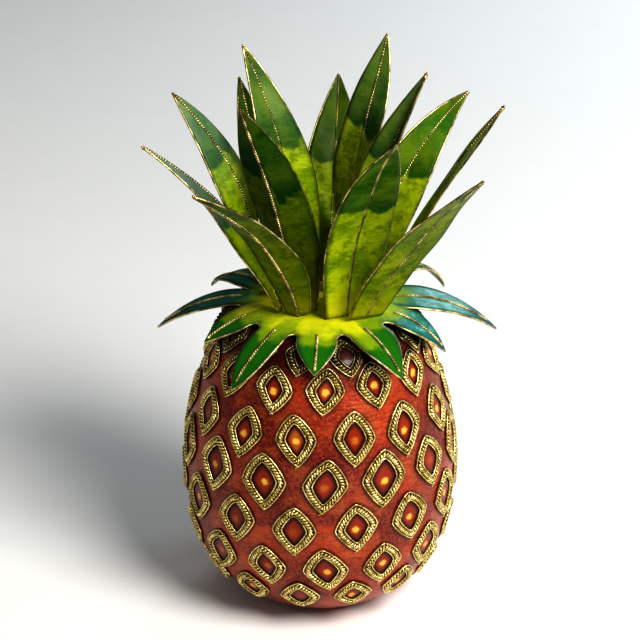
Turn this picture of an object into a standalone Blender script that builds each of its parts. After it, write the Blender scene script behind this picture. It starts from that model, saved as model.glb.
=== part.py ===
"""Cloisonne pineapple: a turned body with raised wire eyes, a drooping collar and a crown of leaves.

Metres and degrees, +Z up, with the origin at the middle of the flat underside. The front of the pineapple
faces -Y. An azimuth is counted from the front, and grows toward +X.
"""

import math

import bmesh
import bpy
import numpy as np
from mathutils import Vector

# Body: two superellipse halves that meet at the widest level, cut flat at the base
BODY_RADIUS = 0.0547
WIDEST_LEVEL = 0.0608
LOWER_REACH = 0.0635
LOWER_POWER = 2.6
UPPER_REACH = 0.102
UPPER_POWER = 1.6
SHOULDER_LEVEL = 0.1172
SHOULDER_CURVE = ((0.0384, 0.1210), (0.0315, 0.1234))
TOP_FLAT_RADIUS = 0.021
BODY_TOP = 0.12635
BODY_STEPS = 28
BODY_STATIONS = 14
SLOPE_STEP = 0.0005

# Eyes: diamond frames of rope between two plain wires, fourteen to a row
EYES_PER_ROW = 14
EYE_BAND = 0.0037
EYE_PROUD = 0.0010
EYE_ROOT = 0.0006
EYE_BLUNT = 0.2
# level of the row, azimuth of one eye, width, height
EYE_ROWS = (
    (0.1195, 15.5, 0.0150, 0.0170),
    (0.1080, 2.5, 0.0165, 0.0200),
    (0.0894, 15.5, 0.0175, 0.0225),
    (0.0720, 1.7, 0.0190, 0.0235),
    (0.0528, 14.7, 0.0190, 0.0230),
    (0.0336, 2.5, 0.0180, 0.0215),
    (0.0188, 16.0, 0.0165, 0.0185),
)

# Collar: one star-cut sheet whose eleven points droop over the shoulder of the body
COLLAR_SHEET = 0.0013
COLLAR_HUB_RADIUS = 0.024
COLLAR_HUB_LEVEL = 0.1273
COLLAR_RING_RADIUS = 0.031
COLLAR_RING_LEVEL = 0.1257
COLLAR_ACROSS = 2
COLLAR_ALONG = 4
COLLAR_ROOT_SHARE = 0.9
COLLAR_WIDEST = 0.25
# heading at root and tip, lean from upright at root and tip, length, width, bluntness of the tip
COLLAR_LEAVES = (
    (-129, -129, 73, 140, 0.0295, 0.0175, 1.5),
    (-102, -93, 95, 132, 0.0395, 0.0165, 1.7),
    (-68, -72, 104, 130, 0.0200, 0.0165, 1.6),
    (-34, -49, 103, 144, 0.0305, 0.0135, 2.8),
    (-2, -7, 102, 146, 0.0180, 0.0155, 1.7),
    (34, 45, 93, 146, 0.0265, 0.0175, 1.7),
    (71, 71, 100, 144, 0.0255, 0.0170, 1.4),
    (101, 91, 90, 132, 0.0450, 0.0230, 1.5),
    (135, 128, 67, 151, 0.0470, 0.0150, 1.6),
    (167, 166, 88, 138, 0.0330, 0.0165, 1.6),
    (199, 197, 90, 140, 0.0310, 0.0165, 1.6),
)

# Crown: fifteen blades of enamelled sheet, each bent by hand
BLADE_SHEET = 0.0015
BLADE_ALONG = 7
BLADE_ACROSS = 2
BLADE_WIDEST = 0.42
BLADE_POWER = 1.7
TOUCH_GAP = 0.0003
MERGE_DISTANCE = 0.00001
# foot azimuth and radius, heading at foot and tip, lean from upright at foot and tip, length, width,
# roll at foot and tip, fold of each half about the midrib, width of the foot as a share of the width
CROWN_LEAVES = {
    "leaf_01_left_low": (-49, 0.0202, -91, -78, 16, 58, 0.0909, 0.0176, -1, 10, -31, 0.24),
    "leaf_02_left_mid": (-110, 0.0240, -100, -109, 1, 49, 0.0910, 0.0225, 9, -33, -11, 0.48),
    "leaf_03_front_left": (-26, 0.0195, -19, -68, 25, 56, 0.0865, 0.0195, 11, 27, 15, 0.51),
    "leaf_04_front_left_tall": (-29, 0.0155, -45, -25, 13, 32, 0.1045, 0.0270, 12, 24, 28, 0.48),
    "leaf_05_back_left": (-153, 0.0170, -140, -160, 33, 38, 0.0890, 0.0190, -7, -16, 16, 0.49),
    "leaf_06_left_tall": (-98, 0.0070, -128, -130, 1, 33, 0.1055, 0.0230, -6, -27, 11, 0.49),
    "leaf_07_back": (168, 0.0155, 171, 177, 20, 41, 0.0865, 0.0270, 12, 9, 13, 0.45),
    "leaf_08_tallest": (141, 0.0110, 98, 152, 3, 27, 0.1065, 0.0265, -28, 17, 11, 0.32),
    "leaf_09_right_edge_on": (45, 0.0135, 90, 106, 9, 28, 0.1020, 0.0195, 14, 31, 34, 0.49),
    "leaf_10_front": (31, 0.0200, 27, 15, 7, 53, 0.1050, 0.0265, -5, 8, -2, 0.67),
    "leaf_11_right_mid": (101, 0.0190, 135, 132, 10, 67, 0.0960, 0.0215, 29, 57, 18, 0.41),
    "leaf_12_right_outer": (73, 0.0225, 82, 99, 23, 39, 0.0970, 0.0175, -6, -1, -1, 0.46),
    "leaf_13_front_right": (43, 0.0260, 45, 57, 29, 47, 0.0895, 0.0230, -15, -14, 1, 0.69),
    "leaf_14_back_low": (-174, 0.0205, -177, -175, 53, 89, 0.0670, 0.0180, 0, 0, 19, 0.49),
    "leaf_15_back_right_low": (144, 0.0210, 153, 153, 49, 83, 0.0665, 0.0180, 0, 0, 19, 0.50),
}


def clear_scene():
    """Leave an empty scene."""
    for obj in list(bpy.data.objects):
        bpy.data.objects.remove(obj, do_unlink=True)


def make_collection(name):
    """A new collection in the scene."""
    collection = bpy.data.collections.new(name)
    bpy.context.scene.collection.children.link(collection)
    return collection


def make_material(name, colour, roughness, metallic):
    """A Principled material of one colour."""
    material = bpy.data.materials.new(name)
    material.use_nodes = True
    material.diffuse_color = (*colour, 1.0)
    shader = material.node_tree.nodes["Principled BSDF"]
    shader.inputs["Base Color"].default_value = (*colour, 1.0)
    shader.inputs["Roughness"].default_value = roughness
    shader.inputs["Metallic"].default_value = metallic
    return material


def make_object(name, bm, collection, material, place=(0, 0, 0)):
    """An object from a bmesh, placed by its location."""
    mesh = bpy.data.meshes.new(name)
    bm.to_mesh(mesh)
    bm.free()
    obj = bpy.data.objects.new(name, mesh)
    obj.location = place
    if material:
        mesh.materials.append(material)
    collection.objects.link(obj)
    return obj


def outward(azimuth):
    """The level unit vector that points along an azimuth, in degrees."""
    angle = math.radians(azimuth)
    return Vector((math.sin(angle), -math.cos(angle), 0))


def azimuth_of(point):
    """The azimuth of a point, in degrees between -180 and 180."""
    return math.degrees(math.atan2(point.x, -point.y))


# Body


def body_outline():
    """Radius and level down the right side of the body, from the top to the base."""
    upper = np.linspace(SHOULDER_LEVEL, WIDEST_LEVEL, 120)
    lower = np.linspace(WIDEST_LEVEL, 0, 120)[1:]
    reach = (upper - WIDEST_LEVEL) / UPPER_REACH
    upper_radius = BODY_RADIUS * (1 - reach**UPPER_POWER) ** (1 / UPPER_POWER)
    reach = (WIDEST_LEVEL - lower) / LOWER_REACH
    lower_radius = BODY_RADIUS * (1 - reach**LOWER_POWER) ** (1 / LOWER_POWER)
    start = np.array((TOP_FLAT_RADIUS, BODY_TOP))
    end = np.array((upper_radius[0], SHOULDER_LEVEL))
    high, low = np.array(SHOULDER_CURVE[1]), np.array(SHOULDER_CURVE[0])
    t = np.linspace(0, 1, 40)[:-1, None]
    shoulder = (1 - t) ** 3 * start + 3 * (1 - t) ** 2 * t * high + 3 * (1 - t) * t**2 * low + t**3 * end
    sides = np.column_stack((np.append(upper_radius, lower_radius), np.append(upper, lower)))
    return np.vstack((shoulder, sides))


OUTLINE = body_outline()
ARC = np.append(0, np.cumsum(np.linalg.norm(np.diff(OUTLINE, axis=0), axis=1)))


def at_arc(arc):
    """Radius and level at a distance down the outline."""
    return np.interp(arc, ARC, OUTLINE[:, 0]), np.interp(arc, ARC, OUTLINE[:, 1])


def arc_of_level(level):
    """The distance down the outline at which a level is reached."""
    return float(np.interp(-level, -OUTLINE[:, 1], ARC))


def on_body(azimuth, arc, across, height):
    """A point at a distance across from a meridian, and at a height over the body's surface."""
    radius, level = at_arc(arc)
    before, after = at_arc(arc - SLOPE_STEP), at_arc(arc + SLOPE_STEP)
    slope = Vector((before[1] - after[1], after[0] - before[0])).normalized()
    spoke = outward(azimuth + math.degrees(across / radius))
    return spoke * (radius + height * slope.x) + Vector((0, 0, level + height * slope.y))


def eye_outline(half_width, half_height):
    """A diamond with blunt sides, anticlockwise from its foot."""
    side = EYE_BLUNT * half_height
    return (
        (0, -half_height),
        (half_width, -side),
        (half_width, side),
        (0, half_height),
        (-half_width, side),
        (-half_width, -side),
    )


def add_eye(bm, azimuth, level, width, height):
    """One closed diamond ring that stands proud of the body."""
    middle = arc_of_level(level)
    outer = eye_outline(width / 2, height / 2)
    inner = eye_outline(width / 2 - EYE_BAND, height / 2 - EYE_BAND)
    loops = []
    for outline, lift in ((outer, -EYE_ROOT), (outer, EYE_PROUD), (inner, EYE_PROUD), (inner, -EYE_ROOT)):
        loops.append([bm.verts.new(on_body(azimuth, middle - y, x, lift)) for x, y in outline])
    count = len(outer)
    for near, far in zip(loops, loops[1:] + loops[:1]):
        for i in range(count):
            j = (i + 1) % count
            bm.faces.new((near[i], near[j], far[j], far[i]))


def make_body(collection, helpers, material):
    """The turned body with its rows of eyes joined on."""
    bm = bmesh.new()
    stations = np.linspace(0, ARC[-1], BODY_STATIONS)
    profile = [(0, BODY_TOP)] + [at_arc(arc) for arc in stations] + [(0, 0)]
    verts = [bm.verts.new((radius, 0, level)) for radius, level in profile]
    for upper, lower in zip(verts, verts[1:]):
        bm.edges.new((upper, lower))
    body = make_object("fruit_body", bm, collection, material)
    screw = body.modifiers.new("turned", "SCREW")
    screw.steps = BODY_STEPS
    screw.render_steps = BODY_STEPS
    screw.use_merge_vertices = True
    screw.merge_threshold = 0.0001

    bm = bmesh.new()
    for level, azimuth, width, height in EYE_ROWS:
        for i in range(EYES_PER_ROW):
            add_eye(bm, azimuth + 360 * i / EYES_PER_ROW, level, width, height)
    bmesh.ops.recalc_face_normals(bm, faces=bm.faces)
    eyes = make_object("eye_frames", bm, helpers, None)
    eyes.hide_render = True
    eyes.display_type = "WIRE"
    union = body.modifiers.new("eyes", "BOOLEAN")
    union.operation = "UNION"
    union.object = eyes
    return body


# Blades, for the collar and the crown


def blade(start, headings, leans, length, steps):
    """Spine points, directions and upper-side normals of a blade that bends steadily along its length."""
    points, directions, normals = [Vector(start)], [], []
    for i in range(steps + 1):
        t = i / steps
        lean = math.radians(leans[0] + (leans[1] - leans[0]) * t)
        spoke = outward(headings[0] + (headings[1] - headings[0]) * t)
        directions.append(spoke * math.sin(lean) + Vector((0, 0, math.cos(lean))))
        normals.append(spoke * -math.cos(lean) + Vector((0, 0, math.sin(lean))))
        if i:
            points.append(points[-1] + (directions[-1] + directions[-2]) * (length / steps / 2))
    return points, directions, normals


def half_width(t, width, foot_share, widest, power):
    """Half the width of a blade at a share of its length."""
    if t < widest:
        share = foot_share + (1 - foot_share) * math.sin(math.pi / 2 * t / widest)
    else:
        share = 1 - ((t - widest) / (1 - widest)) ** power
    return width / 2 * share


def close_tips(bm):
    """Draw the points at each blade's tip into one, and turn all faces the same way."""
    bmesh.ops.remove_doubles(bm, verts=bm.verts, dist=MERGE_DISTANCE)
    bmesh.ops.recalc_face_normals(bm, faces=bm.faces)


def collar_level(radius):
    """The level of the middle of the collar's sheet between its axis and its ring."""
    radii = (COLLAR_HUB_RADIUS, COLLAR_RING_RADIUS)
    return float(np.interp(radius, radii, (COLLAR_HUB_LEVEL, COLLAR_RING_LEVEL)))


def make_collar(collection, material):
    """The star-cut sheet: a hub, a ring, and a row of drooping points extruded from the ring."""
    count = len(COLLAR_LEAVES) * COLLAR_ACROSS
    bm = bmesh.new()
    hub = bmesh.ops.create_circle(bm, cap_ends=True, segments=count, radius=COLLAR_HUB_RADIUS)["verts"]
    grown = bmesh.ops.extrude_edge_only(bm, edges=[edge for edge in bm.edges if edge.is_boundary])["geom"]
    ring = [item for item in grown if isinstance(item, bmesh.types.BMVert)]
    # Each leaf's root runs from the notch before it to the notch after it.
    roots = [leaf[0] for leaf in COLLAR_LEAVES]
    notches = [(a + b) / 2 for a, b in zip([roots[-1] - 360] + roots, roots + [roots[0] + 360])]
    azimuths = []
    for first, last in zip(notches, notches[1:]):
        azimuths += [first + (last - first) * i / COLLAR_ACROSS for i in range(COLLAR_ACROSS)]
    inner = sorted(hub, key=lambda vert: azimuth_of(vert.co))
    rim = sorted(ring, key=lambda vert: azimuth_of(vert.co))
    for azimuth, hub_vert, ring_vert in zip(azimuths, inner, rim):
        hub_vert.co = outward(azimuth) * COLLAR_HUB_RADIUS + Vector((0, 0, COLLAR_HUB_LEVEL))
        ring_vert.co = outward(azimuth) * COLLAR_RING_RADIUS + Vector((0, 0, COLLAR_RING_LEVEL))
    rim.append(rim[0])

    for index, (root, tip, lean, droop, length, width, blunt) in enumerate(COLLAR_LEAVES):
        base = outward(root) * COLLAR_RING_RADIUS + Vector((0, 0, COLLAR_RING_LEVEL))
        points, directions, normals = blade(base, (root, tip), (lean, droop), length, COLLAR_ALONG)
        row = rim[index * COLLAR_ACROSS : (index + 1) * COLLAR_ACROSS + 1]
        for step in range(1, COLLAR_ALONG + 1):
            half = half_width(step / COLLAR_ALONG, width, COLLAR_ROOT_SHARE, COLLAR_WIDEST, blunt)
            side = directions[step].cross(normals[step])
            new_row = []
            for i in range(COLLAR_ACROSS + 1):
                across = 2 * i / COLLAR_ACROSS - 1
                new_row.append(bm.verts.new(points[step] - side * (across * half)))
            for i in range(COLLAR_ACROSS):
                bm.faces.new((row[i], row[i + 1], new_row[i + 1], new_row[i]))
            row = new_row
    close_tips(bm)
    collar = make_object("collar", bm, collection, material)
    sheet = collar.modifiers.new("sheet", "SOLIDIFY")
    sheet.thickness = COLLAR_SHEET
    sheet.offset = 0
    return collar


def make_crown_leaf(name, values, collection, material):
    """One blade: a grid bent along its spine, rolled, folded about its midrib and given its thickness."""
    foot_azimuth, foot_radius, heading, tip_heading, lean, tip_lean = values[:6]
    length, width, roll, tip_roll, fold, foot_share = values[6:]
    foot = outward(foot_azimuth) * foot_radius
    headings, leans = (heading, tip_heading), (lean, tip_lean)
    points, directions, normals = blade((0, 0, 0), headings, leans, length, BLADE_ALONG)
    bm = bmesh.new()
    bmesh.ops.create_grid(bm, x_segments=BLADE_ACROSS, y_segments=BLADE_ALONG, size=1)
    for vert in bm.verts:
        step = round((vert.co.y + 1) / 2 * BLADE_ALONG)
        across = vert.co.x
        t = step / BLADE_ALONG
        half = half_width(t, width, foot_share, BLADE_WIDEST, BLADE_POWER)
        along, normal = directions[step], normals[step]
        turn = math.radians(roll + (tip_roll - roll) * t)
        normal = normal * math.cos(turn) + along.cross(normal) * math.sin(turn)
        side = along.cross(normal)
        bend = math.radians(fold)
        vert.co = points[step] + side * (across * half * math.cos(bend))
        vert.co += normal * (abs(across) * half * math.sin(bend))
    close_tips(bm)
    # The foot stands just clear of the collar's sheet.
    reach = BLADE_SHEET / 2 * math.sin(math.radians(lean))
    low = min(vert.co.z - collar_level((vert.co + foot).to_2d().length) for vert in bm.verts)
    place = foot + Vector((0, 0, COLLAR_SHEET / 2 + TOUCH_GAP + reach - low))
    leaf = make_object(name, bm, collection, material, place)
    sheet = leaf.modifiers.new("sheet", "SOLIDIFY")
    sheet.thickness = BLADE_SHEET
    sheet.offset = 0
    return leaf


def main():
    clear_scene()
    pineapple = make_collection("cloisonne_pineapple")
    helpers = make_collection("helpers")
    red_enamel = make_material("red_enamel", (0.28, 0.035, 0.015), 0.25, 0.0)
    collar_enamel = make_material("collar_enamel", (0.10, 0.28, 0.05), 0.25, 0.0)
    leaf_enamel = make_material("leaf_enamel", (0.16, 0.26, 0.02), 0.25, 0.0)
    stand = bpy.data.objects.new("pineapple", None)
    pineapple.objects.link(stand)
    pieces = [make_body(pineapple, helpers, red_enamel), make_collar(pineapple, collar_enamel)]
    pieces += [make_crown_leaf(name, values, pineapple, leaf_enamel) for name, values in CROWN_LEAVES.items()]
    for piece in pieces:
        piece.parent = stand


main()
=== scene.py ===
import math
import random

import bpy
import numpy as np
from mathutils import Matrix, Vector
from mathutils.kdtree import KDTree


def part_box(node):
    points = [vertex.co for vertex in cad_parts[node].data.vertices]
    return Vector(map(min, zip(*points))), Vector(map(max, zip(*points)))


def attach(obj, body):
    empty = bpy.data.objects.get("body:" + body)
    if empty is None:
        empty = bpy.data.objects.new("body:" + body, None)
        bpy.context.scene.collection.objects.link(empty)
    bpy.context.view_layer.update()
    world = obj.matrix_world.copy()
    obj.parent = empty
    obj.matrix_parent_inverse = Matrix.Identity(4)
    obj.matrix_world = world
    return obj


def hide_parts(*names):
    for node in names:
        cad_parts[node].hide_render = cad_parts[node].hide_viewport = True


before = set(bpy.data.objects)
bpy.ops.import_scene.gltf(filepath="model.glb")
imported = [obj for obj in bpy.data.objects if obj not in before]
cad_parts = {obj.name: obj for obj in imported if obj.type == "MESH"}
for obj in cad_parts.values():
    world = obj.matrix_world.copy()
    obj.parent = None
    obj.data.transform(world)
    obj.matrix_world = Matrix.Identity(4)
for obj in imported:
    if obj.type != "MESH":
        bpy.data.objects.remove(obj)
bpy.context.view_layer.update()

# Setting
# A pale table top, soft studio light from a large window on the right with weaker lights round the
# back and left, and the camera that looks down a little. None of it is part of the pineapple.

AIM_HEIGHT = 0.1184
CAMERA_DISTANCE = 0.960
CAMERA_ELEVATION = 24.5
CAMERA_LENS = 135
SENSOR_WIDTH = 36
FLOOR_SIZE = 8.0
FLOOR_PALE = (0.84, 0.84, 0.83)
FLOOR_PALER = (0.87, 0.87, 0.86)


def outward(azimuth):
    """The level unit vector along an azimuth in degrees: 0 is the front, 90 is the right."""
    angle = math.radians(azimuth)
    return Vector((math.sin(angle), -math.cos(angle), 0))


def aimed(name, data, azimuth, elevation, distance):
    """A lamp or a camera that stands off from the middle of the pineapple and looks at it."""
    lift = math.radians(elevation)
    middle = Vector((0, 0, AIM_HEIGHT))
    rise = Vector((0, 0, distance * math.sin(lift)))
    holder = bpy.data.objects.new(name, data)
    holder.location = middle + outward(azimuth) * distance * math.cos(lift) + rise
    holder.rotation_euler = (holder.location - middle).to_track_quat("Z", "Y").to_euler()
    bpy.context.collection.objects.link(holder)
    return holder


def deselect():
    """Nothing selected, so that the next operator acts on its own piece alone."""
    bpy.ops.object.select_all(action="DESELECT")


class Socket:
    """A shader value that is worked with as an expression."""

    def __init__(self, tree, link):
        self.tree, self.link = tree, link

    def node(self, kind, settings=None, output=0, **inputs):
        """One node of a kind, with its settings first and then the values or links of its sockets."""
        node = self.tree.nodes.new(kind)
        for name, value in (settings or {}).items():
            setattr(node, name, value)
        for name, value in inputs.items():
            key = int(name[1:]) if name[1:].isdigit() else name.replace("_", " ")
            if isinstance(value, Socket):
                self.tree.links.new(value.link, node.inputs[key])
            else:
                node.inputs[key].default_value = value
        return Socket(self.tree, node.outputs[output])

    def sum(self, operation, *terms):
        """A Math node over numbers."""
        sockets = {f"i{index}": term for index, term in enumerate(terms)}
        return self.node("ShaderNodeMath", {"operation": operation}, **sockets)

    def __add__(self, other):
        return self.sum("ADD", self, other)

    def __radd__(self, other):
        return self.sum("ADD", other, self)

    def __sub__(self, other):
        return self.sum("SUBTRACT", self, other)

    def __rsub__(self, other):
        return self.sum("SUBTRACT", other, self)

    def __mul__(self, other):
        return self.sum("MULTIPLY", self, other)

    def __rmul__(self, other):
        return self.sum("MULTIPLY", other, self)

    def ramp(self, low, high):
        """0 below low, 1 above high, and smooth between."""
        settings = {"interpolation_type": "SMOOTHSTEP"}
        return self.node("ShaderNodeMapRange", settings, Value=self, From_Min=low, From_Max=high)

    def over(self, below, above):
        """A mix of two colours: this value is the share of the one above."""
        settings = {"data_type": "RGBA"}
        below = below if isinstance(below, Socket) else (*below, 1.0)
        above = above if isinstance(above, Socket) else (*above, 1.0)
        return self.node("ShaderNodeMix", settings, 2, i0=self, i6=below, i7=above)


class Finish:
    """A Principled material, with the sockets that its expressions start from."""

    def __init__(self, name, **constants):
        self.material = bpy.data.materials.new(name)
        self.material.use_nodes = True
        self.tree = self.material.node_tree
        self.shader = self.tree.nodes["Principled BSDF"]
        for key, value in constants.items():
            self.shader.inputs[key.replace("_", " ")].default_value = value
        self.start = Socket(self.tree, None)

    def place(self):
        """Object coordinates, in metres."""
        return self.start.node("ShaderNodeTexCoord", None, 3)

    def level(self):
        """Height over the table, in metres."""
        return self.start.node("ShaderNodeSeparateXYZ", None, 2, i0=self.place())

    def attribute(self, name):
        """A number that is kept on the mesh."""
        return self.start.node("ShaderNodeAttribute", {"attribute_name": name}, 2)

    def noise(self, where, scale, detail=2.0, rough=0.5):
        """Noise from 0 to 1 whose features are one scale-th of a metre across."""
        sockets = {"Vector": where, "Scale": scale, "Detail": detail, "Roughness": rough}
        return self.start.node("ShaderNodeTexNoise", None, **sockets)

    def bump(self, height, depth, strength=1.0):
        """A normal from a height of 0 to 1 that stands for a depth in metres."""
        return self.start.node("ShaderNodeBump", None, Height=height, Distance=depth, Strength=strength)

    def set(self, **links):
        """Varying values into the shader."""
        for key, value in links.items():
            self.tree.links.new(value.link, self.shader.inputs[key.replace("_", " ")])
        return self.material


deselect()
bpy.ops.mesh.primitive_plane_add(size=FLOOR_SIZE, location=(0, 0, 0))
floor = bpy.context.object
floor.name = "pale_floor"
floor_finish = Finish("pale_paper", Roughness=0.6)
grain = floor_finish.noise(floor_finish.place(), 40, 3)
floor.data.materials.append(floor_finish.set(Base_Color=grain.over(FLOOR_PALE, FLOOR_PALER)))

# name, azimuth, elevation, distance, size, power, colour
LIGHTS = (
    ("window", 43, 43, 1.1, 0.6, 15.0, (1.0, 0.98, 0.94)),
    ("sky_right", 118, 26, 1.1, 0.5, 1.3, (0.78, 0.91, 1.0)),
    ("fill_left", -80, 18, 1.2, 0.7, 0.35, (1.0, 0.97, 0.94)),
    ("rim_back", 158, 18, 1.2, 0.5, 2.2, (0.85, 0.94, 1.0)),
)
for name, azimuth, elevation, distance, size, power, colour in LIGHTS:
    lamp = bpy.data.lights.new(name, "AREA")
    lamp.shape = "DISK"
    lamp.size = size
    lamp.energy = power
    lamp.color = colour
    aimed(name, lamp, azimuth, elevation, distance)

WORLD_STRENGTH = 0.16
world = bpy.data.worlds.new("studio")
world.use_nodes = True
world.node_tree.nodes["Background"].inputs["Color"].default_value = (1.0, 1.0, 1.0, 1.0)
world.node_tree.nodes["Background"].inputs["Strength"].default_value = WORLD_STRENGTH
bpy.context.scene.world = world
bpy.context.scene.view_settings.view_transform = "Standard"
bpy.context.scene.view_settings.look = "High Contrast"

camera_data = bpy.data.cameras.new("camera")
camera_data.lens = CAMERA_LENS
camera_data.sensor_width = SENSOR_WIDTH
bpy.context.scene.camera = aimed("camera", camera_data, 0, CAMERA_ELEVATION, CAMERA_DISTANCE)

# Body
# The real one is a sealed shell of sheet copper, spun or raised in two halves and covered in red
# enamel over foil. It stands on a flat spot under its rounded base, and the eyes are fired onto it.

BODY_RADIUS = 0.0547
WIDEST_LEVEL = 0.0608
LOWER_REACH = 0.0635
LOWER_POWER = 2.6
UPPER_REACH = 0.102
UPPER_POWER = 1.6
SHOULDER_LEVEL = 0.1172
SHOULDER_CURVE = ((0.0384, 0.1210), (0.0315, 0.1234))
TOP_FLAT_RADIUS = 0.021
BODY_TOP = 0.12635
BODY_AROUND = 280
BODY_RINGS = 130
FOIL_DEPTH = 0.00035
SLOPE_STEP = 0.0005

HAND_SEED = 11
EYES_PER_ROW = 14
# level of the row, azimuth of one eye, width, height
EYE_ROWS = (
    (0.1195, 15.5, 0.0150, 0.0170),
    (0.1080, 2.5, 0.0165, 0.0200),
    (0.0894, 15.5, 0.0175, 0.0225),
    (0.0720, 1.7, 0.0190, 0.0235),
    (0.0528, 14.7, 0.0190, 0.0230),
    (0.0336, 2.5, 0.0180, 0.0215),
    (0.0188, 16.0, 0.0165, 0.0185),
)
EYE_DRIFT = 0.5
EYE_SHIFT = 0.0006
EYE_TURN = 7
EYE_SLANT = 0.13
EYE_SIZES = (0.92, 1.02)
NEAR_POWER = 1.5
FAR_OFF = 0.02
MILLIMETRES = 1000
# Towards the shoulder, under the collar, the enamel is painted darker: painted shade for the collar's shadow.
SHADE_START = 0.107
SHADE_FULL = 0.119

DEEP_RED = (0.13, 0.005, 0.002)
WARM_RED = (0.36, 0.034, 0.008)
ORANGE_RED = (0.47, 0.105, 0.026)
STREAK_RED = (0.11, 0.007, 0.003)
FOIL_ORANGE = (0.62, 0.18, 0.065)
WIRE_CONTACT_SHADE = (0.05, 0.005, 0.003)
SHOULDER_SHADE_PURPLE = (0.025, 0.003, 0.005)


def body_outline():
    """Radius and level down the right side of the body, from the top to the base."""
    upper = np.linspace(SHOULDER_LEVEL, WIDEST_LEVEL, 120)
    lower = np.linspace(WIDEST_LEVEL, 0, 120)[1:]
    reach = (upper - WIDEST_LEVEL) / UPPER_REACH
    upper_radius = BODY_RADIUS * (1 - reach**UPPER_POWER) ** (1 / UPPER_POWER)
    reach = (WIDEST_LEVEL - lower) / LOWER_REACH
    lower_radius = BODY_RADIUS * (1 - reach**LOWER_POWER) ** (1 / LOWER_POWER)
    start = np.array((TOP_FLAT_RADIUS, BODY_TOP))
    end = np.array((upper_radius[0], SHOULDER_LEVEL))
    high, low = np.array(SHOULDER_CURVE[1]), np.array(SHOULDER_CURVE[0])
    t = np.linspace(0, 1, 40)[:-1, None]
    shoulder = (1 - t) ** 3 * start + 3 * (1 - t) ** 2 * t * high + 3 * (1 - t) * t**2 * low + t**3 * end
    sides = np.column_stack((np.append(upper_radius, lower_radius), np.append(upper, lower)))
    return np.vstack((shoulder, sides))


OUTLINE = body_outline()
ARC = np.append(0, np.cumsum(np.linalg.norm(np.diff(OUTLINE, axis=0), axis=1)))


def at_arc(arc):
    """Radius and level at a distance down the outline."""
    return np.interp(arc, ARC, OUTLINE[:, 0]), np.interp(arc, ARC, OUTLINE[:, 1])


def on_body(azimuth, arc, across, height):
    """Points at distances across from a meridian, and at heights over the body's surface."""
    radius, level = at_arc(arc)
    before, after = at_arc(arc - SLOPE_STEP), at_arc(arc + SLOPE_STEP)
    rise, run = before[1] - after[1], after[0] - before[0]
    length = np.hypot(rise, run)
    angle = np.radians(azimuth) + across / radius
    out = radius + height * rise / length
    return np.column_stack((out * np.sin(angle), -out * np.cos(angle), level + height * run / length))


def finished(piece, material, slot, *nodes):
    """A piece that is done: smooth, with its finish, riding on the one body, for the nodes it replaces."""
    piece.data.materials.clear()
    piece.data.materials.append(material)
    piece.data.shade_smooth()
    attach(piece, "root")
    if nodes:
        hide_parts(*nodes)
    return piece


def keep(piece, name, values):
    """A number kept on each of a mesh's points for its material."""
    layer = piece.data.attributes.new(name, "FLOAT", "POINT")
    layer.data.foreach_set("value", np.asarray(values, np.float32))


def points_of(piece):
    """The places of a mesh's points, as rows."""
    flat = np.empty(len(piece.data.vertices) * 3, np.float32)
    piece.data.vertices.foreach_get("co", flat)
    return flat.reshape(-1, 3)


def move_points(piece, places):
    """Put a mesh's points where the rows say."""
    piece.data.vertices.foreach_set("co", np.asarray(places, np.float32).ravel())
    piece.data.update()


# Every eye has its own small shift, turn and size, as hand-bent wire has.
hand = random.Random(HAND_SEED)
eyes = []
for row, (level, first, width, height) in enumerate(EYE_ROWS):
    middle = float(np.interp(-level, -OUTLINE[:, 1], ARC))
    for i in range(EYES_PER_ROW):
        azimuth = first + 360 * i / EYES_PER_ROW + hand.uniform(-EYE_DRIFT, EYE_DRIFT)
        arc = middle + hand.uniform(-EYE_SHIFT, EYE_SHIFT)
        turn = math.radians(hand.uniform(-EYE_TURN, EYE_TURN))
        slant = hand.uniform(-EYE_SLANT, EYE_SLANT)
        size = hand.uniform(*EYE_SIZES)
        eyes.append((row, azimuth, arc, turn, slant, width * size / 2, height * size / 2))

deselect()
bpy.ops.mesh.primitive_circle_add(vertices=BODY_AROUND, radius=float(OUTLINE[-1, 0]), fill_type="NGON")
body = bpy.context.object
body.name = "enamelled_body"
bpy.ops.object.mode_set(mode="EDIT")
bpy.ops.mesh.select_all(action="SELECT")
rings = [at_arc(arc) for arc in np.linspace(ARC[-1], 0, BODY_RINGS)]
for (old_radius, old_level), (radius, level) in zip(rings, rings[1:]):
    bpy.ops.mesh.extrude_region_move(TRANSFORM_OT_translate={"value": (0, 0, float(level - old_level))})
    share = float(radius / old_radius)
    bpy.ops.transform.resize(value=(share, share, 1))
bpy.ops.mesh.select_all(action="SELECT")
bpy.ops.mesh.normals_make_consistent(inside=False)
bpy.ops.object.mode_set(mode="OBJECT")

# How near each point of the enamel is to a wire frame: the enamel is painted darker there, as painted shade
# next to the wires.
spots = points_of(body)
spot_azimuth = np.degrees(np.arctan2(spots[:, 0], -spots[:, 1]))
spot_radius = np.hypot(spots[:, 0], spots[:, 1])
spot_arc = np.interp(-spots[:, 2], -OUTLINE[:, 1], ARC)
near = np.full(len(spots), FAR_OFF)
for _, azimuth, arc, turn, slant, half_width, half_height in eyes:
    gap = (spot_azimuth - azimuth + 180) % 360 - 180
    x, y = np.radians(gap) * spot_radius, arc - spot_arc
    x, y = x * math.cos(turn) + y * math.sin(turn), y * math.cos(turn) - x * math.sin(turn)
    reach = (np.abs(x - y * slant) / half_width) ** NEAR_POWER + (np.abs(y) / half_height) ** NEAR_POWER
    near = np.minimum(near, (reach ** (1 / NEAR_POWER) - 1) * min(half_width, half_height))
keep(body, "past_wire", near * MILLIMETRES)
keep(body, "collar_shade_share", np.clip((spots[:, 2] - SHADE_START) / (SHADE_FULL - SHADE_START), 0, 1))

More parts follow.
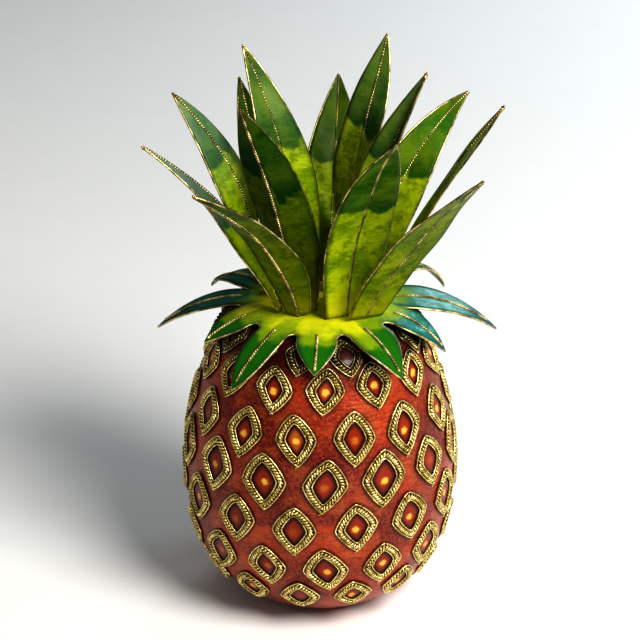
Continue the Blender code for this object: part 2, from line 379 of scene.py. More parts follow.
glass = Finish("red_enamel", Metallic=0.3, Specular_IOR_Level=0.16, Coat_Weight=0.3, Coat_Roughness=0.2)
where = glass.place()
cloud = glass.noise(where, 34, 3, 0.6)
patch = glass.noise(where, 90, 4, 0.65)
foil = glass.noise(where, 900, 3, 0.7)
stretched = where.node("ShaderNodeVectorMath", {"operation": "MULTIPLY"}, i0=where, i1=(1, 1, 7))
streak = glass.noise(stretched, 150, 4, 0.7)
beyond = glass.attribute("past_wire")
red = cloud.ramp(0.40, 0.60).over(DEEP_RED, WARM_RED)
red = (patch.ramp(0.44, 0.64) * 0.5).over(red, ORANGE_RED)
red = (streak.ramp(0.46, 0.64) * 0.55).over(red, STREAK_RED)
red = (foil.ramp(0.42, 0.66) * 0.24).over(red, FOIL_ORANGE)
# Painted shade along the foot of each wire frame.
red = ((1 - beyond.ramp(-0.3, 1.1)) * 0.7).over(red, WIRE_CONTACT_SHADE)
# Painted shade: the enamel darkens to purple under the collar.
red = (glass.attribute("collar_shade_share") * 0.85).over(red, SHOULDER_SHADE_PURPLE)
glass.set(
    Base_Color=red,
    Roughness=foil * 0.15 + streak * 0.2 + 0.18,
    Normal=glass.bump(foil * 0.7 + patch + streak, FOIL_DEPTH),
)
finished(body, glass.material, "red_enamel", "fruit_body")

# Eyes
# Diamond frames bent from gilt wire, a twisted rope between an outer and an inner plain wire, fired
# onto the body. Inside each is a pool of dark red enamel with a drop of golden yellow in the middle.

# Each wire keeps to its own share of the way from the frame's outside to the pool.
OUTER_SHARE = 0.08
ROPE_SHARE = 0.50
INNER_SHARE = 0.92
BAND_SIDE = 0.0043
BAND_END = 0.0041
TOP_POWER = 1.36
FOOT_POWER = 1.22
ROPE_LEVEL = 0.0008
ROPE_WIND = 0.00056
STRAND_RADIUS = 0.00050
ROPE_PITCH = 0.0027
STEPS_PER_TURN = 8
PLAIN_RADIUS = 0.00034
PLAIN_LEVEL = 0.0007
PLAIN_STEPS = 44
TAIL_LENGTHS = (0.0004, 0.0018)
SAME_PLACE = 0.000001

OLD_GOLD = (0.44, 0.32, 0.08)
BRIGHT_GOLD = (1.0, 0.82, 0.36)
TARNISH = (0.14, 0.09, 0.03)
GROOVE_DIRT = (0.035, 0.022, 0.008)
COLLAR_SHADE_BRONZE = (0.05, 0.036, 0.016)


def lozenge(half_width, half_height, share, count):
    """Even steps round an eye, from its foot and up its right side, and the way out at each."""
    angle = np.linspace(-math.pi / 2, 3 * math.pi / 2, 361)
    power = np.where(np.sin(angle) > 0, TOP_POWER, FOOT_POWER)
    x = np.sign(np.cos(angle)) * np.abs(np.cos(angle)) ** (2 / power) * (half_width - share * BAND_SIDE)
    y = np.sign(np.sin(angle)) * np.abs(np.sin(angle)) ** (2 / power) * (half_height - share * BAND_END)
    run = np.append(0, np.cumsum(np.hypot(np.diff(x), np.diff(y))))
    s = np.arange(count) / count * run[-1]
    places = np.column_stack((np.interp(s, run, x), np.interp(s, run, y)))
    ahead = np.roll(places, -1, 0) - np.roll(places, 1, 0)
    ahead /= np.linalg.norm(ahead, axis=1)[:, None]
    return places, np.column_stack((ahead[:, 1], -ahead[:, 0])), run[-1]


def lay(eye, places, height):
    """Wrap flat places in an eye's own frame onto the body."""
    _, azimuth, arc, turn, slant, _, _ = eye
    leaning = places[:, 0] + places[:, 1] * slant
    x = leaning * math.cos(turn) - places[:, 1] * math.sin(turn)
    y = leaning * math.sin(turn) + places[:, 1] * math.cos(turn)
    return on_body(azimuth, arc - y, x, height)


def tubes(name, paths, radius, closed, resolution=1):
    """Round wires along paths, as one mesh."""
    curve = bpy.data.curves.new(name, "CURVE")
    curve.dimensions = "3D"
    curve.bevel_depth = radius
    curve.bevel_resolution = resolution
    curve.use_fill_caps = True
    for path in paths:
        spline = curve.splines.new("POLY")
        spline.points.add(len(path) - 1)
        spline.points.foreach_set("co", np.column_stack((path, np.ones(len(path)))).ravel())
        spline.use_cyclic_u = closed
    wire = bpy.data.objects.new(name, curve)
    bpy.context.collection.objects.link(wire)
    deselect()
    wire.select_set(True)
    bpy.context.view_layer.objects.active = wire
    bpy.ops.object.convert(target="MESH")
    if not closed:
        bpy.ops.object.mode_set(mode="EDIT")
        bpy.ops.mesh.select_all(action="SELECT")
        bpy.ops.mesh.remove_doubles(threshold=SAME_PLACE)
        bpy.ops.object.mode_set(mode="OBJECT")
    return wire


def keep_grooves(rope, middle, crest):
    """How deep each point of a rope lies below its crest: 0 at the crest and 1 between the strands."""
    tree = KDTree(len(middle))
    for i, place in enumerate(middle):
        tree.insert(place, i)
    tree.balance()
    spots = points_of(rope)
    nearest = np.array([tree.find(spot)[1] for spot in spots])
    ahead = np.roll(middle, -1, 0) - middle
    ahead /= np.linalg.norm(ahead, axis=1)[:, None]
    away = spots - middle[nearest]
    away -= ahead[nearest] * np.sum(away * ahead[nearest], 1)[:, None]
    keep(rope, "groove", np.clip((crest - np.linalg.norm(away, axis=1)) / (crest * 0.7), 0, 1))


gilt = Finish("gilt_wire", Metallic=0.75)
where = gilt.place()
wear = gilt.noise(where, 260, 4, 0.65)
fleck = gilt.noise(where, 1300, 2)
groove = gilt.attribute("groove")
metal = wear.ramp(0.35, 0.65).over(OLD_GOLD, BRIGHT_GOLD)
metal = (fleck.ramp(0.48, 0.64) * 0.65).over(metal, TARNISH)
metal = groove.ramp(0.15, 0.75).over(metal, GROOVE_DIRT)
# Under the collar the wire is painted dull and dark: painted shade where the collar shades it.
metal = (gilt.level().ramp(0.110, 0.119) * 0.85).over(metal, COLLAR_SHADE_BRONZE)
gilt.set(Base_Color=metal, Roughness=wear * 0.25 + 0.12, Normal=gilt.bump(fleck, 0.00014))

for row in range(len(EYE_ROWS)):
    ropes, plains, inners, middles = [], [], [], []
    for eye in [eye for eye in eyes if eye[0] == row]:
        half_width, half_height = eye[5:]
        turns = round(lozenge(half_width, half_height, ROPE_SHARE, 4)[2] / ROPE_PITCH)
        steps = turns * STEPS_PER_TURN
        places, normals, _ = lozenge(half_width, half_height, ROPE_SHARE, steps)
        middles.append(lay(eye, places, ROPE_LEVEL))
        for strand in (0, math.pi):
            winding = 2 * math.pi * turns * np.arange(steps) / steps + strand
            aside = places + normals * (ROPE_WIND * np.cos(winding))[:, None]
            ropes.append(lay(eye, aside, ROPE_LEVEL + ROPE_WIND * np.sin(winding)))
        # The outer wire's two ends cross at the foot and run a little past it.
        places = lozenge(half_width, half_height, OUTER_SHARE, PLAIN_STEPS)[0]
        places = np.vstack((places, places[:1]))
        first, last = places[0] - places[2], places[-1] - places[-3]
        long_tail, short_tail = hand.uniform(*TAIL_LENGTHS), hand.uniform(*TAIL_LENGTHS) / 2
        start = places[0] + first / np.linalg.norm(first) * long_tail
        end = places[-1] + last / np.linalg.norm(last) * short_tail
        plains.append(lay(eye, np.vstack((start, places, end)), PLAIN_LEVEL))
        places = lozenge(half_width, half_height, INNER_SHARE, PLAIN_STEPS)[0]
        inners.append(lay(eye, places, PLAIN_LEVEL))
    rope = tubes(f"eye_ropes_{row + 1}", ropes, STRAND_RADIUS, True)
    keep_grooves(rope, np.vstack(middles), ROPE_WIND + STRAND_RADIUS)
    finished(rope, gilt.material, "gilt_wire")
    finished(tubes(f"eye_outer_wires_{row + 1}", plains, PLAIN_RADIUS, False), gilt.material, "gilt_wire")
    finished(tubes(f"eye_inner_wires_{row + 1}", inners, PLAIN_RADIUS, True), gilt.material, "gilt_wire")

POOL_RINGS = (1.0, 0.85, 0.68, 0.5, 0.34, 0.2, 0.08)
POOL_AROUND = 32
POOL_LEVEL = 0.0004
POOL_DIP = 0.0002
POOL_DEPTH = 0.0005
DROP_SIDEWAYS = 0.0005
DROP_LOW = 0.0012

POOL_RED = (0.24, 0.026, 0.006)
POOL_RIM_SHADE = (0.03, 0.005, 0.003)
POOL_AMBER = (0.42, 0.15, 0.03)
HALO_RED = (0.36, 0.06, 0.010)
DROP_GOLD = (0.72, 0.40, 0.07)
POOL_COLLAR_SHADE = (0.02, 0.004, 0.008)


def joined(name, pieces):
    """Pieces made one mesh, under a name."""
    deselect()
    for piece in pieces:
        piece.select_set(True)
    bpy.context.view_layer.objects.active = pieces[0]
    bpy.ops.object.join()
    pieces[0].name = name
    return pieces[0]


def thicken(piece, thickness, side=0):
    """Give a sheet its thickness: half to each side, or all of it behind where side is -1."""
    deselect()
    piece.select_set(True)
    bpy.context.view_layer.objects.active = piece
    wall = piece.modifiers.new("sheet", "SOLIDIFY")
    wall.thickness = thickness
    wall.offset = side
    bpy.ops.object.modifier_apply(modifier=wall.name)


pools = []
for eye in eyes:
    deselect()
    bpy.ops.mesh.primitive_circle_add(vertices=POOL_AROUND, radius=1, fill_type="NGON")
    pool = bpy.context.object
    bpy.ops.object.mode_set(mode="EDIT")
    bpy.ops.mesh.select_all(action="SELECT")
    for outer, inner in zip(POOL_RINGS, POOL_RINGS[1:]):
        bpy.ops.mesh.inset(thickness=outer - inner)
    bpy.ops.object.mode_set(mode="OBJECT")
    pools.append(pool)
    flat = points_of(pool)
    share = np.hypot(flat[:, 0], flat[:, 1])
    rim = lozenge(eye[5], eye[6], 1.0, 120)[0]
    rim = np.vstack((rim, rim[:1]))
    rim_angle = np.unwrap(np.arctan2(rim[:, 1], rim[:, 0]))
    angle = np.arctan2(flat[:, 1], flat[:, 0])
    angle = np.where(angle < rim_angle[0], angle + 2 * math.pi, angle)
    edge = np.column_stack((np.interp(angle, rim_angle, rim[:, 0]), np.interp(angle, rim_angle, rim[:, 1])))
    places = edge * share[:, None]
    move_points(pool, lay(eye, places, POOL_LEVEL - POOL_DIP * (1 - share**2)))
    drop = np.array((hand.uniform(-DROP_SIDEWAYS, DROP_SIDEWAYS), hand.uniform(-DROP_LOW, 0)))
    keep(pool, "from_drop", np.linalg.norm(places - drop, axis=1) * MILLIMETRES)
    keep(pool, "from_rim", share)
    keep(pool, "brightness", np.full(len(flat), hand.random()))

pool_glass = Finish(
    "eye_enamel", Roughness=0.3, Specular_IOR_Level=0.12, Coat_Weight=0.15, Coat_Roughness=0.08
)
flow = pool_glass.noise(pool_glass.place(), 700, 2)
rim = pool_glass.attribute("from_rim")
bright = pool_glass.attribute("brightness")
spread = pool_glass.attribute("from_drop") + (flow - 0.5) * 1.6
# Painted shade: each pool darkens towards its rim, next to the inner wire.
colour = rim.ramp(0.45, 0.92).over(POOL_RED, POOL_RIM_SHADE)
colour = (bright.ramp(0.86, 0.96) * (1 - rim.ramp(0.2, 0.9)) * 0.8).over(colour, POOL_AMBER)
halo = (1 - spread.ramp(1.4, 2.4)) * (bright * 0.7 + 0.3)
colour = halo.over(colour, HALO_RED)
heart = (1 - spread.ramp(0.9, 1.8)) * bright.ramp(0.0, 0.6)
colour = heart.over(colour, DROP_GOLD)
# Painted shade: the pools under the collar are darkened.
colour = (pool_glass.level().ramp(0.108, 0.117) * 0.9).over(colour, POOL_COLLAR_SHADE)
pool_glass.set(Base_Color=colour, Normal=pool_glass.bump(flow, 0.0001))

for row in range(len(EYE_ROWS)):
    mine = [pool for pool, eye in zip(pools, eyes) if eye[0] == row]
    row_of_pools = joined(f"eye_pools_{row + 1}", mine)
    thicken(row_of_pools, POOL_DEPTH, -1)
    finished(row_of_pools, pool_glass.material, "red_enamel")

# Collar
# One star cut from sheet copper, with eleven points bent down over the body's shoulder. It is
# enamelled bright yellow in the middle, green to the points and teal on some. A gilt wire runs round
# the whole edge, and a twisted one down each point ends in a drop of solder.

COLLAR_SHEET = 0.0009
HUB_RADIUS = 0.024
HUB_LEVEL = 0.1273
RING_RADIUS = 0.031
RING_LEVEL = 0.1257
HUB_ROWS = 6
POINT_ROWS = 24
POINT_ACROSS = 12
ROW_CROWDING = 1.5
NOTCH_DEPTH = 0.0032
MIDDLE_SHARE = 0.02
COLLAR_ROOT_SHARE = 0.9
COLLAR_WIDEST = 0.25
COLLAR_FINE_STEPS = 60
# heading at root and tip, lean from upright at root and tip, length, width, bluntness of the tip,
# blueness, and the share of the length at which the green begins on each half
COLLAR_POINTS = (
    (-129, -129, 73, 140, 0.0295, 0.0175, 1.5, 0.72, 0.00, 0.00),
    (-102, -93, 95, 132, 0.0395, 0.0165, 1.7, 0.70, 0.00, 0.00),
    (-68, -72, 104, 130, 0.0200, 0.0165, 1.6, 0.10, 0.45, 0.15),
    (-34, -49, 103, 144, 0.0305, 0.0135, 2.8, 0.00, 0.22, 0.10),
    (-2, -7, 102, 146, 0.0180, 0.0155, 1.7, 0.00, 0.28, 0.30),
    (34, 45, 93, 146, 0.0265, 0.0175, 1.7, 0.10, 0.40, 0.10),
    (71, 71, 100, 144, 0.0255, 0.0170, 1.4, 0.90, 0.10, 0.15),
    (101, 91, 90, 132, 0.0450, 0.0230, 1.5, 1.00, 0.05, 0.15),
    (135, 128, 67, 151, 0.0470, 0.0150, 1.6, 0.20, 0.10, 0.10),
    (167, 166, 88, 138, 0.0330, 0.0165, 1.6, 0.30, 0.30, 0.25),
    (199, 197, 90, 140, 0.0310, 0.0165, 1.6, 0.50, 0.25, 0.30),
)
EDGE_RADIUS = 0.0004
COLLAR_RIB_WIND = 0.00034
COLLAR_RIB_STRAND = 0.0004
COLLAR_RIB_LIFT = 0.0005
RIB_PITCH = 0.0023
RIB_END = 0.9
BEAD_RADIUS = 0.0007
COLLAR_HAMMERING = 0.0005
HUB_GREEN = 0.25
HUB_ALONG = 0.25
OWN_POWER = 3
RIM_ACROSS = 0.999
SEAM_REACH = 0.00003
SMALLEST_STRIDE = 0.00002

EDGE_DARK = (0.20, 0.15, 0.05)
EDGE_GOLD = (0.84, 0.68, 0.34)
EDGE_TARNISH = (0.07, 0.05, 0.02)
EDGE_DIRT = (0.03, 0.022, 0.008)
HUB_YELLOW = (0.60, 0.60, 0.012)
LIGHT_OLIVE = (0.20, 0.30, 0.008)
HUB_GRAIN = (0.50, 0.60, 0.15)
POINT_GREEN = (0.018, 0.13, 0.006)
TEAL = (0.015, 0.15, 0.12)
PALE_TEAL_REFLECTION = (0.15, 0.36, 0.34)
DARK_TEAL = (0.012, 0.09, 0.11)
POINT_SHADE = (0.006, 0.05, 0.02)


def blade(start, headings, leans, length, steps):
    """Spine places, directions and upper-side normals of a blade that bends steadily along its length."""
    t = np.linspace(0, 1, steps + 1)
    lean = np.radians(leans[0] + (leans[1] - leans[0]) * t)[:, None]
    heading = np.radians(headings[0] + (headings[1] - headings[0]) * t)
    spoke = np.column_stack((np.sin(heading), -np.cos(heading), 0 * heading))
    up = np.array((0, 0, 1.0))
    directions = spoke * np.sin(lean) + up * np.cos(lean)
    normals = up * np.sin(lean) - spoke * np.cos(lean)
    strides = (directions[1:] + directions[:-1]) * length / steps / 2
    return np.vstack((start, start + np.cumsum(strides, 0))), directions, normals


def half_width(t, width, foot_share, widest, power):
    """Half the width of a blade at shares of its length."""
    rise = foot_share + (1 - foot_share) * np.sin(np.pi / 2 * np.clip(t / widest, 0, 1))
    fall = 1 - np.clip((t - widest) / (1 - widest), 0, 1) ** power
    return width / 2 * np.where(t < widest, rise, fall)


def along_run(rows, run, places):
    """Rows of numbers at places along a run."""
    return np.column_stack([np.interp(places, run, rows[:, i]) for i in range(rows.shape[1])])


def twisted(spine, directions, normals, wind, pitch):
    """The paths of two strands wound about a spine, with the middle line between them."""
    run = np.append(0, np.cumsum(np.linalg.norm(np.diff(spine, axis=0), axis=1)))
    s = np.linspace(0, run[-1], int(run[-1] / pitch * STEPS_PER_TURN))
    middle, ahead, up = [along_run(rows, run, s) for rows in (spine, directions, normals)]
    side = np.cross(ahead, up)
    paths = []
    for strand in (0, math.pi):
        winding = (2 * math.pi * s / pitch + strand)[:, None]
        paths.append(middle + wind * (side * np.cos(winding) + up * np.sin(winding)))
    return paths, middle


def open_line(path):
    """A path without the places that repeat the one before."""
    path = np.asarray(path)
    fresh = np.append(True, np.linalg.norm(np.diff(path, axis=0), axis=1) > SMALLEST_STRIDE)
    return path[fresh]


leaf_wire = Finish("aged_gilt_wire", Metallic=0.7)
where = leaf_wire.place()
wear = leaf_wire.noise(where, 150, 4, 0.7)
fleck = leaf_wire.noise(where, 1100, 2)
metal = wear.ramp(0.38, 0.64).over(EDGE_DARK, EDGE_GOLD)
metal = (fleck.ramp(0.5, 0.7) * 0.6).over(metal, EDGE_TARNISH)
metal = (leaf_wire.attribute("groove").ramp(0.3, 0.9) * 0.85).over(metal, EDGE_DIRT)
leaf_wire.set(Base_Color=metal, Roughness=wear * 0.3 + 0.2, Normal=leaf_wire.bump(fleck, 0.00008))

roots = [point[0] for point in COLLAR_POINTS]
notches = [(a + b) / 2 for a, b in zip([roots[-1] - 360] + roots, roots + [roots[0] + 360])]
petals, rim_path, rib_paths, rib_middles, bead_places = [], [], [], [], []
for index, point in enumerate(COLLAR_POINTS):
    root, tip, lean, droop, length, width, blunt, blue, green_before, green_after = point
    deselect()
    bpy.ops.mesh.primitive_grid_add(x_subdivisions=POINT_ACROSS, y_subdivisions=HUB_ROWS + POINT_ROWS, size=2)
    petal = bpy.context.object
    flat = points_of(petal)
    across = flat[:, 0]
    row = np.rint((flat[:, 1] + 1) / 2 * (HUB_ROWS + POINT_ROWS)).astype(int)
    step = np.clip(row - HUB_ROWS, 0, POINT_ROWS)
    # Rows lie closer together near the root, where the notches are round.
    share = (np.arange(POINT_ROWS + 1) / POINT_ROWS) ** ROW_CROWDING
    base = np.array(outward(root) * RING_RADIUS) + (0, 0, RING_LEVEL)
    fine_rows = blade(base, (root, tip), (lean, droop), length, COLLAR_FINE_STEPS)
    fine_shares = np.linspace(0, 1, COLLAR_FINE_STEPS + 1)
    spine, directions, normals = [along_run(rows, fine_shares, share) for rows in fine_rows]
    sides = np.cross(directions, normals)
    half = half_width(share, width, COLLAR_ROOT_SHARE, COLLAR_WIDEST, blunt)
    leafy = spine[step] - sides[step] * (across * half[step])[:, None]
    radius = RING_RADIUS * np.clip(row / HUB_ROWS, MIDDLE_SHARE, 1)
    first, last = notches[index], notches[index + 1]
    azimuth = np.radians((first + last) / 2 + across * (last - first) / 2)
    level = np.interp(radius, (HUB_RADIUS, RING_RADIUS), (HUB_LEVEL, RING_LEVEL))
    hub = np.column_stack((radius * np.sin(azimuth), -radius * np.cos(azimuth), level))
    onward = hub + (spine[step] - base)
    reach = np.clip(share * length / NOTCH_DEPTH, 0, 1)[step]
    rounding = np.sqrt(1 - (1 - reach) ** 2)[:, None]
    places = np.where((row <= HUB_ROWS)[:, None], hub, onward * (1 - rounding) + leafy * rounding)
    move_points(petal, places)
    keep(petal, "along", np.where(row <= HUB_ROWS, HUB_ALONG * (row / HUB_ROWS - 1), share[step]))
    # Towards the middle the points' own colours give way to one yellow.
    own = np.clip(row / HUB_ROWS, 0, 1) ** OWN_POWER
    green_from = np.where(across < 0, green_before, green_after)
    keep(petal, "green_from", green_from * own + HUB_GREEN * (1 - own))
    keep(petal, "blue", blue * own)
    keep(petal, "from_rib", np.abs(across) * own)
    outer = row >= HUB_ROWS
    rim_path += [*places[outer & (across < -RIM_ACROSS)], *places[outer & (across > RIM_ACROSS)][::-1]]
    end = int(np.searchsorted(share, RIB_END))
    lifted = spine[:end] + normals[:end] * COLLAR_RIB_LIFT
    paths, middle = twisted(lifted, directions[:end], normals[:end], COLLAR_RIB_WIND, RIB_PITCH)
    rib_paths += paths
    rib_middles.append(middle)
    bead_places.append(lifted[-1])
    petals.append(petal)
collar = joined("collar_sheet", petals)
bpy.ops.object.mode_set(mode="EDIT")
bpy.ops.mesh.select_all(action="SELECT")
bpy.ops.mesh.remove_doubles(threshold=SEAM_REACH)
bpy.ops.mesh.normals_make_consistent(inside=False)
bpy.ops.object.mode_set(mode="OBJECT")
thicken(collar, COLLAR_SHEET)

collar_glass = Finish(
    "collar_enamel", Metallic=0.05, Specular_IOR_Level=0.03, Coat_Weight=0.12, Coat_Roughness=0.15
)
where = collar_glass.place()
drift = collar_glass.noise(where, 130, 4, 0.6)
swirl = collar_glass.noise(where, 260, 5, 0.7)
fine = collar_glass.noise(where, 800, 3, 0.7)
past = collar_glass.attribute("along") - collar_glass.attribute("green_from") + (drift - 0.5) * 0.5
blueness = collar_glass.attribute("blue") + (swirl - 0.5) * 1.3
colour = past.ramp(-0.42, -0.14).over(HUB_YELLOW, LIGHT_OLIVE)
colour = (fine.ramp(0.5, 0.8) * 0.12).over(colour, HUB_GRAIN)
colour = past.ramp(-0.06, 0.10).over(colour, POINT_GREEN)
colour = (blueness.ramp(0.35, 0.75) * past.ramp(-0.2, 0.2)).over(colour, TEAL)
# Painted reflection: pale teal on the bluest points stands in for the sky reflected in them.
colour = (blueness.ramp(0.85, 1.2) * past.ramp(-0.1, 0.3)).over(colour, PALE_TEAL_REFLECTION)
colour = (blueness.ramp(0.40, 0.75) * past.ramp(0.45, 0.8)).over(colour, DARK_TEAL)
colour = (collar_glass.attribute("from_rib").ramp(0.6, 1.0) * 0.6).over(colour, POINT_SHADE)
hammering = collar_glass.bump(drift + fine * 0.3, COLLAR_HAMMERING)
collar_glass.set(Base_Color=colour, Roughness=fine * 0.2 + 0.2, Normal=hammering)
finished(collar, collar_glass.material, "green_enamel", "collar")
collar_edge = tubes("collar_edge_wire", [open_line(rim_path)], EDGE_RADIUS, True, 2)
finished(collar_edge, leaf_wire.material, "gilt_wire")
collar_ribs = tubes("collar_midribs", rib_paths, COLLAR_RIB_STRAND, False)
keep_grooves(collar_ribs, np.vstack(rib_middles), COLLAR_RIB_WIND + COLLAR_RIB_STRAND)
finished(collar_ribs, leaf_wire.material, "gilt_wire")


def drops(name, places, radius):
    """Round drops of solder at places, as one mesh."""
    beads = []
    for place in places:
        deselect()
        bpy.ops.mesh.primitive_uv_sphere_add(segments=12, ring_count=8, radius=radius)
        bead = bpy.context.object
        move_points(bead, points_of(bead) + place)
        beads.append(bead)
    return joined(name, beads)


finished(drops("collar_midrib_beads", bead_places, BEAD_RADIUS), leaf_wire.material, "gilt_wire")

# Crown
# Fifteen separate blades of sheet copper, bent by hand and soldered by their feet to the collar. Each
# has yellow-green enamel below and green above, a gilt wire round its edge that the firing has
# browned, and a rope of two wires down its midrib.

BLADE_SHEET = 0.0009
BLADE_ROWS = 48
BLADE_ACROSS = 12
BLADE_WIDEST = 0.42
BLADE_POWER = 1.7
BLADE_FINE_STEPS = 120
EDGE_TUCK = 0.0003
TIP_SHARE = 0.985
# The sheet of the part's own leaves, whose feet these blades stand level with.
CAD_SHEET = 0.0015
TIP_BEAD_RADIUS = 0.00055
RIB_WIND = 0.00046
RIB_STRAND = 0.00038
WAVE_HEIGHT = 0.0005
WAVE_SLANT = 1.5
WAVE_COUNTS = (1.2, 2.2)
LOBE_REACH = 0.035
REFLECTION_RISE = 3
REFLECTION_LAG = 1.3
BLADE_HAMMERING = 0.0008
GRAIN_STRETCH = (1, 1, 2.5)

BROWNED_DARK = (0.09, 0.07, 0.025)
BROWNED_GOLD = (0.66, 0.51, 0.23)
BROWNED_DIRT = (0.012, 0.010, 0.004)
OLIVE = (0.16, 0.25, 0.003)
YELLOW_GREEN = (0.34, 0.42, 0.006)
MOSS = (0.085, 0.14, 0.002)
SUNNY_YELLOW = (0.47, 0.52, 0.012)
YELLOW_GRAIN = (0.50, 0.55, 0.05)
FOOT_YELLOW = (0.56, 0.56, 0.012)
DEEP_GREEN = (0.022, 0.080, 0.003)
LEAF_GREEN = (0.100, 0.165, 0.008)
SEA_GREEN_REFLECTION = (0.012, 0.13, 0.025)
BRUSHED_GREEN = (0.13, 0.20, 0.012)
BORDER_GREEN = (0.006, 0.055, 0.004)
TIP_OLIVE = (0.11, 0.14, 0.02)
MARGIN_SHADE = (0.01, 0.03, 0.003)
DARK_ENAMEL_AND_SHADE = (0.001, 0.012, 0.001)
SKY_REFLECTION_GREY = (0.15, 0.21, 0.18)
# foot azimuth and radius, heading at foot and tip, lean from upright at foot and tip, length, width,
# roll at foot and tip, fold of each half about the midrib, width of the foot as a share of the width
CROWN_LEAVES = {
    "leaf_01_left_low": (-49, 0.0202, -91, -78, 16, 58, 0.0909, 0.0176, -1, 10, -31, 0.24),
    "leaf_02_left_mid": (-110, 0.0240, -100, -109, 1, 49, 0.0910, 0.0225, 9, -33, -11, 0.48),
    "leaf_03_front_left": (-26, 0.0195, -19, -68, 25, 56, 0.0865, 0.0195, 11, 27, 15, 0.51),
    "leaf_04_front_left_tall": (-29, 0.0155, -45, -25, 13, 32, 0.1045, 0.0270, 12, 24, 28, 0.48),
    "leaf_05_back_left": (-153, 0.0170, -140, -160, 33, 38, 0.0890, 0.0190, -7, -16, 16, 0.49),
    "leaf_06_left_tall": (-98, 0.0070, -128, -130, 1, 33, 0.1055, 0.0230, -6, -27, 11, 0.49),
    "leaf_07_back": (168, 0.0155, 171, 177, 20, 41, 0.0865, 0.0270, 12, 9, 13, 0.45),
    "leaf_08_tallest": (141, 0.0110, 98, 152, 3, 27, 0.1065, 0.0265, -28, 17, 11, 0.32),
    "leaf_09_right_edge_on": (45, 0.0135, 90, 106, 9, 28, 0.1020, 0.0195, 14, 31, 34, 0.49),
    "leaf_10_front": (31, 0.0200, 27, 15, 7, 53, 0.1050, 0.0265, -5, 8, -2, 0.67),
    "leaf_11_right_mid": (101, 0.0190, 135, 132, 10, 67, 0.0960, 0.0215, 29, 57, 18, 0.41),
    "leaf_12_right_outer": (73, 0.0225, 82, 99, 23, 39, 0.0970, 0.0175, -6, -1, -1, 0.46),
    "leaf_13_front_right": (43, 0.0260, 45, 57, 29, 47, 0.0895, 0.0230, -15, -14, 1, 0.69),
    "leaf_14_back_low": (-174, 0.0205, -177, -175, 53, 89, 0.0670, 0.0180, 0, 0, 19, 0.49),
    "leaf_15_back_right_low": (144, 0.0210, 153, 153, 49, 83, 0.0665, 0.0180, 0, 0, 19, 0.50),
}
# the share of the length at which the green begins on each half, how much darker the enamel is made, partly
# its own darker colour and partly painted shade for the shadows on the leaf, and how much painted sky
# reflection, a pale sheen, is on it towards the tip
LEAF_ENAMELS = {
    "leaf_01_left_low": (0.50, 0.52, 0.5, 0.7),
    "leaf_02_left_mid": (0.65, 0.66, 0.0, 0.3),
    "leaf_03_front_left": (0.92, 0.78, 0.63, 0.15),
    "leaf_04_front_left_tall": (0.53, 0.66, 0.6, 0.0),
    "leaf_05_back_left": (0.60, 0.58, 0.7, 0.0),
    "leaf_06_left_tall": (0.62, 0.60, 0.0, 0.12),
    "leaf_07_back": (0.58, 0.58, 0.3, 0.0),
    "leaf_08_tallest": (0.66, 0.63, 0.0, 0.10),
    "leaf_09_right_edge_on": (0.63, 0.63, 0.12, 0.12),
    "leaf_10_front": (0.52, 0.54, 0.0, 0.0),
    "leaf_11_right_mid": (0.51, 0.55, 0.05, 0.0),
    "leaf_12_right_outer": (0.95, 0.93, 0.0, 0.45),
    "leaf_13_front_right": (0.93, 0.90, 0.38, 0.22),
    "leaf_14_back_low": (0.60, 0.62, 0.3, 0.0),
    "leaf_15_back_right_low": (0.58, 0.60, 0.2, 0.0),
}

edge_wire = Finish("darkened_edge_wire", Metallic=1.0)
wear = edge_wire.noise(edge_wire.place(), 150, 4, 0.7)
metal = wear.ramp(0.36, 0.64).over(BROWNED_DARK, BROWNED_GOLD)
metal = (edge_wire.attribute("groove").ramp(0.3, 0.9) * 0.9).over(metal, BROWNED_DIRT)
edge_wire.set(Base_Color=metal, Roughness=wear * 0.2 + 0.15)

leaf_glass = Finish("leaf_enamel", Metallic=0.05, Specular_IOR_Level=0.01, Coat_Roughness=0.2)
where = leaf_glass.place()
wander = leaf_glass.noise(where, 120, 3, 0.55)
cloud = leaf_glass.noise(where, 70, 3)
smear = leaf_glass.noise(where, 200, 4, 0.7)
fine = leaf_glass.noise(where, 700, 3, 0.7)
along = leaf_glass.attribute("along")
past = along - leaf_glass.attribute("green_from") + (wander - 0.5) * 0.13
stretched = where.node("ShaderNodeVectorMath", {"operation": "MULTIPLY"}, i0=where, i1=GRAIN_STRETCH)
brush = leaf_glass.noise(stretched, 260, 4, 0.7)
yellow = cloud.ramp(0.38, 0.62).over(OLIVE, YELLOW_GREEN)
yellow = (smear.ramp(0.46, 0.62) * 0.7).over(yellow, MOSS)
yellow = (brush.ramp(0.54, 0.66) * 0.45).over(yellow, SUNNY_YELLOW)
yellow = (fine.ramp(0.5, 0.8) * 0.15).over(yellow, YELLOW_GRAIN)
yellow = (1 - along.ramp(0.0, 0.16)).over(yellow, FOOT_YELLOW)
green = cloud.ramp(0.38, 0.62).over(DEEP_GREEN, LEAF_GREEN)
# Painted reflection: random sea-green patches in the green stand in for a teal sky reflection.
teal = leaf_glass.noise(where, 45, 2)
green = (teal.ramp(0.52, 0.66) * 0.25).over(green, SEA_GREEN_REFLECTION)
green = (brush.ramp(0.5, 0.68) * 0.4).over(green, BRUSHED_GREEN)
green = ((1 - past.ramp(0.0, 0.12)) * 0.65).over(green, BORDER_GREEN)
green = (along.ramp(0.82, 1.0) * 0.6).over(green, TIP_OLIVE)
colour = past.ramp(-0.012, 0.016).over(yellow, green)
colour = (leaf_glass.attribute("from_rib").ramp(0.8, 1.0) * 0.55).over(colour, MARGIN_SHADE)
